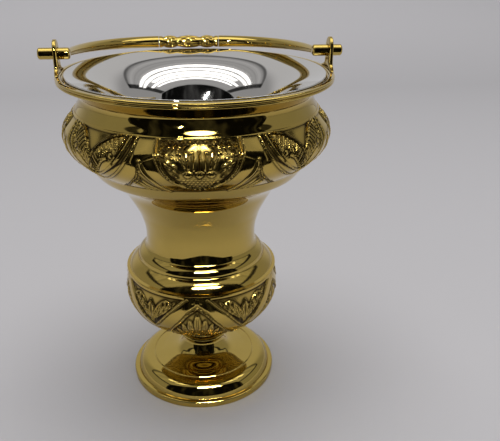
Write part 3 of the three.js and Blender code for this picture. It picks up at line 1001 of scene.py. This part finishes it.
class POT_OT_band(bpy.types.Operator):
    """Builds the ornament band with its cast shells and leaves"""

    bl_idname = "holy_water_pot.band"
    bl_label = "Ornament band"

    def execute(self, context):
        size = sizes(context, "band")
        low, high, radius = span("ornament_band")
        middle = (radius, low + size.lower_rise)
        turn = (radius - size.turn_inset, middle[1] + size.turn_rise)
        profile = joined(
            bend((span("neck")[2], low), 38, middle, 90, 40, 0.4),
            bend(middle, 90, turn, 128, 30),
            bend(turn, 128, (size.top_radius, high), 128, 10),
        )
        # Rows and columns about 0.4 mm apart carry the relief
        outer, travelled = evenly(profile, 94)
        columns = 960
        loop = joined(outer, inside(outer, 16))
        lift, hollow = band_relief(outer, travelled, columns, size.cells)
        shape = turned(loop, columns, FRONT + size.turn, lift)
        add_piece("cast_band", shape, "relief brass", ["ornament_band"], hollow=hollow)
        return {"FINISHED"}


class POT_OT_rim(bpy.types.Operator):
    """Builds the throat and the double bead round the rim"""

    bl_idname = "holy_water_pot.rim"
    bl_label = "Throat and rim"

    def execute(self, context):
        size = sizes(context, "rim")
        low, high, _ = span("throat")
        narrow = (size.throat_radius, low + size.throat_rise)
        rim_level = high - size.lip_height
        start = (span("ornament_band")[2] - size.throat_inset, low)
        flare = bend(narrow, 90, (size.lip_radius, rim_level), 27, 16, 0.25)
        outer = joined(bend(start, 117, narrow, 90, 12), flare)
        slope = math.tan(context.scene.holy_water_pot.liner.flange_slope)
        loop = joined(
            outer,
            (size.lip_radius, high),
            (size.lip_radius - WALL, high - WALL * slope),
            inside(outer)[1:],
        )
        add_piece("spun_throat", turned(rounded(loop, 0.3)), "spun brass", ["throat"])

        low, high, radius = span("rim_bead")
        half = (high - low) / 4
        inner = size.lip_radius + SEAM
        beads = []
        for centre, reach in ((low + half, 0.15), (high - half, 0)):
            for turn in np.linspace(-80, 80, 9):
                swell = half * (math.cos(math.radians(turn)) - 1) - reach
                rise = half * math.sin(math.radians(turn))
                beads.append((radius + swell * 1.1, centre + rise))
        loop = joined(
            (radius - 1.4, low),
            beads,
            (radius - 1.6, high),
            (inner + 0.5, high),
            (inner, high - 0.6),
            (inner, low),
        )
        add_piece("double_bead", turned(rounded(loop, 0.3)), "spun brass", ["rim_bead"])
        return {"FINISHED"}


def ear_shape(size, low, high, outer):
    """An ear through rounded sections, from the toe on the rim up to the dome."""
    middle = outer - size.ear_thickness / 2
    toe_half = math.radians(9.5) * middle
    dome = high - size.ear_dome
    rings = []
    toe = np.linspace(low, low + size.ear_toe, 5)
    for level in [*toe, *np.linspace(low + size.ear_toe + 0.4, dome, 20)[:-1]]:
        rise = (level - low) / (dome - low)
        half = size.ear_dome + (size.ear_base / 2 - size.ear_dome) * (1 - rise) ** 2
        spread = (toe_half - half) * math.exp(-(((level - low) / 1.3) ** 1.6))
        rings.append((level, half + spread, size.ear_thickness / 2))
    for turn in np.linspace(0, 88, 14):
        level = dome + size.ear_dome * math.sin(math.radians(turn))
        edge = math.cos(math.radians(turn))
        thick = size.ear_thickness / 2 * (0.35 + 0.65 * edge**0.5)
        rings.append((level, size.ear_dome * edge, thick))
    turns = np.arange(40) * 2 * np.pi / 40
    side, front = np.cos(turns), np.sin(turns)
    sections = []
    for level, half, thick in rings:
        swing = half * np.sign(side) * abs(side) ** 0.6 / middle
        radius = middle - thick * np.sign(front) * abs(front) ** 0.5
        x, y = radius * np.cos(swing), radius * np.sin(swing)
        sections.append(np.stack([x, y, np.full(40, level)], axis=1))
    return capped(sections)


def drilled(shape, level, hole, near, far):
    """The shape with a round hole along X through it."""
    made = []
    for vertices, faces in (shape, rod(hole, near, far, level)):
        mesh = bpy.data.meshes.new("drilling")
        mesh.from_pydata([tuple(v) for v in vertices], [], faces)
        made.append(bpy.data.objects.new("drilling", mesh))
        bpy.context.scene.collection.objects.link(made[-1])
    plate, drill = made
    cut = plate.modifiers.new("hole", "BOOLEAN")
    cut.operation, cut.solver, cut.object = "DIFFERENCE", "EXACT", drill
    bpy.context.view_layer.update()
    result = plate.evaluated_get(bpy.context.evaluated_depsgraph_get()).to_mesh()
    vertices = [tuple(v.co) for v in result.vertices]
    faces = [tuple(p.vertices) for p in result.polygons]
    for thing in made:
        bpy.data.objects.remove(thing)
    return vertices, faces


def rod(radius, near, far, level, sides=48):
    """A plain round rod along X."""
    turns = np.arange(sides) * 2 * np.pi / sides
    y, z = radius * np.cos(turns), level + radius * np.sin(turns)
    return capped([np.stack([np.full(sides, x), y, z], axis=1) for x in (near, far)])


class POT_OT_ears(bpy.types.Operator):
    """Builds the two ears that stand on the rim"""

    bl_idname = "holy_water_pot.ears"
    bl_label = "Ears"

    def execute(self, context):
        size = sizes(context, "rim")
        low, high, outer = span("right_ear")
        pin_low, pin_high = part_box("right_pin")
        level = (pin_low.z + pin_high.z) * MM / 2
        shape = ear_shape(size, low, high, outer)
        shape = drilled(shape, level, size.ear_hole, outer - 9, outer + 9)
        for name, turn in (("right_ear", 0), ("left_ear", math.pi)):
            placed = moved(shape, Matrix.Rotation(turn, 4, "Z"))
            add_piece("cast_" + name, placed, "spun brass", [name])
        return {"FINISHED"}


class POT_OT_liner(bpy.types.Operator):
    """Builds the nickel plated liner that lifts out"""

    bl_idname = "holy_water_pot.liner"
    bl_label = "Liner"

    def execute(self, context):
        size = sizes(context, "liner")
        low, high, radius = span("liner")
        floor = low + size.sheet
        slope = size.flange_slope
        foot = (size.cup_radius - size.cup_taper, floor + size.corner)
        fall = size.flange_width * math.tan(slope)
        # The sheet's edge is cut square, so its underside reaches furthest out
        edge = radius - size.sheet * math.sin(slope)
        wall_top = (size.cup_radius, high - size.throat_drop)
        flange = (edge - size.flange_width, high - fall)
        visible = joined(
            (0, floor),
            (12, floor),
            bend((foot[0] - size.corner, floor), 0, foot, 87, 12, 0.4),
            bend(wall_top, 86, flange, math.degrees(slope), 60),
            (edge, high),
        )
        under = visible + normals(visible) * size.sheet
        under[0, 0] = 0
        loop = joined(under, visible[::-1])
        shape = turned(rounded(loop, 0.25), 320)
        add_piece("plated_liner", shape, "nickel plate", ["liner"], "liner")
        return {"FINISHED"}


def bail_plane():
    """The bail's own frame: X through both pins, Y towards the grip, in millimetres."""
    left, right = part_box("left_pin"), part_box("right_pin")
    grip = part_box("bail_grip")
    level = (right[0].z + right[1].z) * MM / 2
    middle = (left[0].x + right[1].x) * MM / 2
    out = (grip[0].y + grip[1].y) * MM / 2
    down = (grip[0].z + grip[1].z) * MM / 2 - level
    tilt = math.atan2(down, out)
    return Matrix.Translation((middle, 0, level)) @ Matrix.Rotation(tilt, 4, "X")


class POT_OT_bail(bpy.types.Operator):
    """Builds the bail: two pins, two tapering arms and a beaded grip"""

    bl_idname = "holy_water_pot.bail"
    bl_label = "Bail"

    def execute(self, context):
        size = sizes(context, "bail")
        plane = bail_plane()
        low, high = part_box("right_pin")
        middle = plane.translation.x
        near, far = low.x * MM - middle, high.x * MM - middle
        half_grip = size.middle_bead / 2 + size.side_bead
        half_grip += 2 * size.neck_width + size.collar_width

        round_end = 0.7
        r = size.pin_radius
        pin = [(0, near), (r - round_end, near), (r, near + round_end)]
        pin += [(r, far - round_end), (r - round_end, far), (0, far)]
        lay = Matrix.Rotation(math.pi / 2, 4, "Y")
        pin_shape = moved(turned(rounded(np.array(pin, float), 0.4, 20), 64), lay)

        centre = half_grip + SEAM
        across = near + size.arm_pin_radius - centre
        start = math.asin(r / size.reach) * 0.6
        turns = np.linspace(start, math.pi / 2, 80)
        line = [centre + across * np.cos(turns), size.reach * np.sin(turns)]
        line, travelled = evenly(np.stack(line, axis=1), 110)
        growth = size.arm_grip_radius - size.arm_pin_radius
        thick = size.arm_pin_radius + growth * (travelled / travelled[-1]) ** 0.6
        arm_shape = tube(line, thick, 36)

        for side, mirror in (("right", 0), ("left", math.pi)):
            place = plane @ Matrix.Rotation(mirror, 4, "Y")
            for name, shape, node in (
                (f"bail_{side}_pin", pin_shape, side + "_pin"),
                (f"bent_{side}_arm", arm_shape, f"bail_{side}_arm"),
            ):
                add_piece(name, moved(shape, place), "spun brass", [node], "bail")

        profile = [(0, -half_grip), (size.collar_radius, -half_grip)]
        at = -half_grip + size.collar_width
        profile.append((size.collar_radius, at))
        proud = size.bead_radius - size.neck_radius
        for width in (size.side_bead, size.middle_bead, size.side_bead):
            at += size.neck_width
            for part in np.linspace(0, 1, 40):
                swell = proud * max(0, math.sin(math.pi * part)) ** 0.7
                profile.append((size.neck_radius + swell, at + part * width))
            at += width
        at += size.neck_width
        profile += [(size.collar_radius, at), (size.collar_radius, half_grip)]
        profile.append((0, half_grip))
        loop = rounded(joined(profile), 0.3)
        shape = turned(loop, 160, lift=flowers(size, loop, 160))
        place = plane @ Matrix.Translation((0, size.reach, 0)) @ lay
        shape = moved(shape, place)
        add_piece("beaded_grip", shape, "relief brass", ["bail_grip"], "bail")
        return {"FINISHED"}


def flowers(size, loop, columns):
    """Heights of four six-petalled flowers round each bead of the grip."""
    turns = np.arange(columns) * 2 * np.pi / columns
    quarter = (turns % (np.pi / 2) - np.pi / 4) * 2 / np.pi
    lift = np.zeros((len(loop), columns))
    apart = (size.middle_bead + size.side_bead) / 2 + size.neck_width
    widths = size.side_bead, size.middle_bead, size.side_bead
    for middle, width in zip((-apart, 0, apart), widths):
        along = (loop[:, 1] - middle) / width
        out = np.hypot(along[:, None], quarter)
        around = np.arctan2(quarter, along[:, None])
        petal = abs(np.cos(3 * around)) ** 0.7 - 1
        within = eased((0.46 - out) / 0.08) * eased((out - 0.1) / 0.05)
        lift += 0.6 * petal * within
    return lift


def tube(line, radii, sides):
    """A round rod along a line in the XY plane, closed at both ends."""
    along = np.gradient(line, axis=0)
    along /= np.linalg.norm(along, axis=1)[:, None]
    turns = -np.arange(sides) * 2 * np.pi / sides
    rings = []
    for (x, y), (dx, dy), r in zip(line, along, radii):
        out, up = r * np.cos(turns), r * np.sin(turns)
        rings.append(np.stack([x + dy * out, y - dx * out, up], axis=1))
    return capped(rings)


class POT_OT_fastenings(bpy.types.Operator):
    """Gives the hidden rod, nuts and washers their steel"""

    bl_idname = "holy_water_pot.fastenings"
    bl_label = "Hidden fastenings"

    def execute(self, context):
        steel = finish_of("machined steel")
        for node in ("tie_rod", "foot_nut", "foot_washer", "bulb_nut", "bulb_washer"):
            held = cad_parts[node].data.materials
            held.clear()
            held.append(steel)
        return {"FINISHED"}


# Studio


def lamp(name, place, aim, width, depth, power):
    """A soft rectangular lamp that points at a place."""
    light = bpy.data.lights.new(name, "AREA")
    light.shape, light.size, light.size_y = "RECTANGLE", width, depth
    light.energy = power
    holder = bpy.data.objects.new(name, light)
    holder.location = place
    facing = Vector(aim) - Vector(place)
    holder.rotation_euler = facing.to_track_quat("-Z", "Y").to_euler()
    holder.visible_camera = False
    bpy.context.scene.collection.objects.link(holder)
    return holder


def tube_lamp(name, start, end, width, radiance, aim, spread):
    """A straight lamp between two places, which faces the pot. A grid narrows its spread,
    so that only what lies near its aim shines."""
    start, end = Vector(start), Vector(end)
    along = (end - start).normalized()
    middle = (start + end) / 2
    facing = Vector(aim) - middle
    facing = (facing - along * facing.dot(along)).normalized()
    size = (end - start).length
    power = radiance * math.pi * size * width
    holder = lamp(name, middle, middle + facing, size, width, power)
    holder.data.spread = math.radians(spread)
    across = along.cross(-facing)
    axes = Matrix((along, -across, -facing)).transposed().to_4x4()
    holder.matrix_world = Matrix.Translation(middle) @ axes
    holder.visible_diffuse = False


def ramp(tree, source, limits, stops):
    """A value that follows the stops, each a place and the value there."""
    low, high = limits
    place = add(tree, "MapRange", {"From Min": low, "From Max": high}, {"Value": source})
    node = add(tree, "ValToRGB", links={"Fac": place.outputs["Result"]})
    points = node.color_ramp.elements
    while len(points) < len(stops):
        points.new(0.5)
    for point, (at, value) in zip(points, stops):
        point.position = (at - low) / (high - low)
        point.color = (value, value, value, 1)
    return node.outputs["Color"]


def stage_sheet(name, corners, material):
    """A flat sheet of the surroundings, which is no piece of the pot."""
    mesh = bpy.data.meshes.new(name)
    mesh.from_pydata(corners, [], [tuple(range(len(corners)))])
    mesh.materials.append(material)
    sheet = bpy.data.objects.new(name, mesh)
    bpy.context.scene.collection.objects.link(sheet)
    return sheet


def paper_floor(studio):
    """The sheet of matt paper under the pot, with a fine tooth."""
    paper, tree = new_material("matt paper floor")
    place = add(tree, "TexCoord").outputs["Object"]
    away = add(tree, "SeparateXYZ", links={0: place}).outputs["Y"]
    # Painted light and shade: the paper's colour is a little darker 0.8 m behind the pot and
    # paler further back, for how the light falls across the floor
    painted_falloff = ramp(tree, away, (-0.4, 3), [(-0.4, 0.96), (0, 1), (0.8, 0.8), (3, 1.5)])
    scaled = {"operation": "SCALE", 0: studio.floor}
    tone = add(tree, "VectorMath", scaled, {"Scale": painted_falloff}).outputs["Vector"]
    tooth = add(tree, "TexNoise", {"Scale": 500, "Detail": 2}, {"Vector": place})
    depth = {"Strength": 0.05, "Distance": 0.0002}
    bump = add(tree, "Bump", depth, {"Height": tooth.outputs["Fac"]}).outputs["Normal"]
    links = {"Base Color": tone, "Normal": bump}
    shader = add(tree, "BsdfPrincipled", {"Roughness": 0.85}, links)
    add(tree, "OutputMaterial", links={"Surface": shader.outputs[0]})
    wide = 6
    corners = [(-wide, -wide, 0), (wide, -wide, 0), (wide, wide, 0), (-wide, wide, 0)]
    stage_sheet("floor", corners, paper)


def cloth_card(studio):
    """The dark cloth in front of the pot, with an arched top, seen only in the metal."""
    cloth, tree = new_material("dark cloth card")
    # Folds some 60 mm wide hang down it, between black and dark grey
    place = add(tree, "TexCoord").outputs["Object"]
    stretched = {"operation": "MULTIPLY", 1: (1, 1, 0.15)}
    hung = add(tree, "VectorMath", stretched, {0: place}).outputs["Vector"]
    folds = add(tree, "TexNoise", {"Scale": 16, "Detail": 3}, {"Vector": hung})
    limits = {"From Min": 0.5, "From Max": 0.75, "To Min": 0.004, "To Max": 0.06}
    tone = add(tree, "MapRange", limits, {"Value": folds.outputs["Fac"]})
    glow = add(tree, "Emission", {"Strength": 1}, {"Color": tone.outputs["Result"]})
    add(tree, "OutputMaterial", links={"Surface": glow.outputs[0]})
    left, right = -studio.card_left, studio.card_right
    near, high = -studio.card_near, studio.card_height
    corners = [(left, near, 0), (right, near, 0)]
    for x in right + (left - right) * np.linspace(0, 1, 13):
        corners.append((x, near, high - 0.35 * x * x))
    card = stage_sheet("dark_card", corners, cloth)
    card.visible_camera = card.visible_diffuse = card.visible_shadow = False
    card.visible_transmission = card.visible_volume_scatter = False


def pale_room(scene, studio):
    """The side walls, the lit backdrop and the framed ceiling that the metal reflects."""
    scene.world = bpy.data.worlds.new("pale room")
    scene.world.use_nodes = True
    tree = scene.world.node_tree
    tree.nodes.clear()
    way = add(tree, "TexCoord").outputs["Generated"]
    split = add(tree, "SeparateXYZ", links={0: way}).outputs
    # A place on a flat ceiling is how far it lies across and back for each metre up
    up = add(tree, "Math", {"operation": "MAXIMUM", 1: 0.02}, {0: split["Z"]}).outputs[0]
    back, across = (
        add(tree, "Math", {"operation": "DIVIDE"}, {0: split[axis], 1: up}).outputs[0]
        for axis in "YX"
    )
    aside = add(tree, "Math", {"operation": "ABSOLUTE"}, {0: across}).outputs[0]
    # Seams of the ceiling cloth run from side to side
    cloth = {"noise_dimensions": "1D", "Scale": 9, "Detail": 2}
    seams = add(tree, "TexNoise", cloth, {"W": back}).outputs["Fac"]
    uneven = {"From Min": 0.35, "From Max": 0.65, "To Min": 0.315, "To Max": 0.504}
    ceiling = add(tree, "MapRange", uneven, {"Value": seams}).outputs["Result"]
    # The frame of the ceiling is dark, and reaches no further back than 0.75
    stops = [(-1, 1), (0.62, 1), (0.67, 0.3), (0.75, 0.2), (1, 0.2)]
    for edge in (
        ramp(tree, aside, (0, 2), [(0, 1), (1.26, 1), (1.32, 0.08), (2, 0.08)]),
        ramp(tree, back, (-1, 1), stops),
    ):
        links = {0: ceiling, 1: edge}
        ceiling = add(tree, "Math", {"operation": "MULTIPLY"}, links).outputs[0]
    links = {
        0: ramp(tree, back, (-2, 2), [(-1.1, 0), (-1, 1), (0.72, 1), (0.77, 0)]),
        1: ramp(tree, aside, (0, 3), [(0, 1), (1.6, 1), (1.66, 0)]),
    }
    within = add(tree, "Math", {"operation": "MULTIPLY"}, links).outputs[0]
    # Side walls are darker than the lit backdrop, which begins 125 degrees round
    level = add(tree, "CombineXYZ", links={0: split["X"], 1: split["Y"]}).outputs[0]
    heading = add(tree, "VectorMath", {"operation": "NORMALIZE"}, {0: level}).outputs[0]
    behind = add(tree, "SeparateXYZ", links={0: heading}).outputs["Y"]
    walls = {"interpolation_type": "SMOOTHSTEP", "From Min": 0.57, "From Max": 0.9}
    walls |= {"To Min": studio.walls, "To Max": studio.backdrop}
    sides = add(tree, "MapRange", walls, {"Value": behind}).outputs["Result"]
    links = {"Factor": within, 2: sides, 3: ceiling}
    shade = add(tree, "Mix", {"data_type": "FLOAT"}, links).outputs[0]
    room = add(tree, "Background", {"Color": (0.98, 0.98, 1, 1)}, {"Strength": shade})
    add(tree, "OutputWorld", links={"Surface": room.outputs[0]})


def room_lamps(studio):
    """The softbox that lights the floor, and the panel and tubes that light the metal."""
    # Light for the floor comes from a wide softbox that isn't seen in the brass
    softbox = lamp("softbox", (0, 0.3, 3), (0, 0, 0), 3, 2, studio.softbox)
    softbox.visible_glossy = False
    # Panel 0.2 m above the liner in strips, which only shines on what is glossy
    rise, level = 0.2, 0.19
    for name, left, right, front, behind in (
        ("back strip", -1.2, 1.38, 0.24, 0.36),
        ("second strip", -1.24, 1.42, 0.06, 0.18),
        ("middle strip", -0.8, 0.9, -0.12, 0.01),
        ("third strip", -1.16, 1.3, -0.28, -0.16),
        ("front strip", -1.0, 1.1, -0.42, -0.34),
    ):
        middle = Vector(((left + right) / 2, (front + behind) / 2, 1)) * rise
        middle.z += level
        wide, deep = (right - left) * rise, (behind - front) * rise
        power = studio.panel * math.pi * wide * deep
        strip = lamp(name, middle, middle - Vector((0, 0, 1)), wide, deep, power)
        strip.visible_diffuse = False
    for name, high, aim, spread in (
        ("upper tube", 0.4, (0, -0.2, 0), 66),
        ("lower tube", 0.3, (0, -0.12, 0.12), 50),
    ):
        ends = (-0.066, -0.2, high), (0.119, -0.2, high)
        tube_lamp(name, *ends, 0.016, studio.tubes, aim, spread)
    slash = (-0.0935, -0.17, 0.345), (-0.0566, -0.205, 0.242)
    tube_lamp("slash", *slash, 0.005, studio.tubes, (0, 0.03, 0.165), 38)


def place_camera(scene, studio):
    """The camera, with its heading, its pitch and its slight roll."""
    camera = bpy.data.cameras.new("camera")
    camera.sensor_width, camera.lens = 36, studio.lens
    camera.clip_start = 0.01
    holder = bpy.data.objects.new("camera", camera)
    scene.collection.objects.link(holder)
    turn, dip, roll = studio.heading, studio.pitch, studio.roll
    level = Vector((math.sin(turn), math.cos(turn), 0))
    forward = level * math.cos(dip) - Vector((0, 0, math.sin(dip)))
    right = Vector((math.cos(turn), -math.sin(turn), 0))
    up = right.cross(forward)
    tilted = right * math.cos(roll) - up * math.sin(roll)
    above = right * math.sin(roll) + up * math.cos(roll)
    axes = Matrix((tilted, above, -forward)).transposed().to_4x4()
    holder.matrix_world = Matrix.Translation(studio.eye) @ axes
    scene.camera = holder


class POT_OT_studio(bpy.types.Operator):
    """Sets up the floor, the dark card, the lamps, the walls and the camera"""

    bl_idname = "holy_water_pot.studio"
    bl_label = "Studio"

    def execute(self, context):
        scene = context.scene
        studio = scene.holy_water_pot.studio
        scene.view_settings.view_transform = "Standard"
        paper_floor(studio)
        cloth_card(studio)
        pale_room(scene, studio)
        room_lamps(studio)
        place_camera(scene, studio)
        return {"FINISHED"}


OPERATORS = (
    POT_OT_foot,
    POT_OT_bulb,
    POT_OT_neck,
    POT_OT_band,
    POT_OT_rim,
    POT_OT_ears,
    POT_OT_liner,
    POT_OT_bail,
    POT_OT_fastenings,
    POT_OT_studio,
)


class POT_PT_panel(bpy.types.Panel):
    """Lists the pot's pieces and their sizes"""

    bl_idname = "POT_PT_panel"
    bl_label = "Holy Water Pot"
    bl_space_type = "VIEW_3D"
    bl_region_type = "UI"
    bl_category = "Holy Water Pot"

    def draw(self, context):
        for operator in OPERATORS:
            self.layout.operator(operator.bl_idname)
        settings = context.scene.holy_water_pot
        for name, pointer in settings.bl_rna.properties.items():
            if name in ("rna_type", "name"):
                continue
            box = self.layout.box()
            box.label(text=pointer.name)
            group = getattr(settings, name)
            for item in group.bl_rna.properties.keys():
                if item not in ("rna_type", "name"):
                    box.prop(group, item)


CLASSES = (
    FootSizes,
    BulbSizes,
    NeckSizes,
    BandSizes,
    RimSizes,
    LinerSizes,
    BailSizes,
    Finishes,
    StudioSettings,
    PotSettings,
    *OPERATORS,
    POT_PT_panel,
)


def register():
    for item in CLASSES:
        bpy.utils.register_class(item)
    bpy.types.Scene.holy_water_pot = bpy.props.PointerProperty(type=PotSettings)


def unregister():
    del bpy.types.Scene.holy_water_pot
    for item in reversed(CLASSES):
        bpy.utils.unregister_class(item)


def main():
    register()
    for operator in OPERATORS:
        group, name = operator.bl_idname.split(".")
        getattr(getattr(bpy.ops, group), name)()


if __name__ == "__main__":
    main()
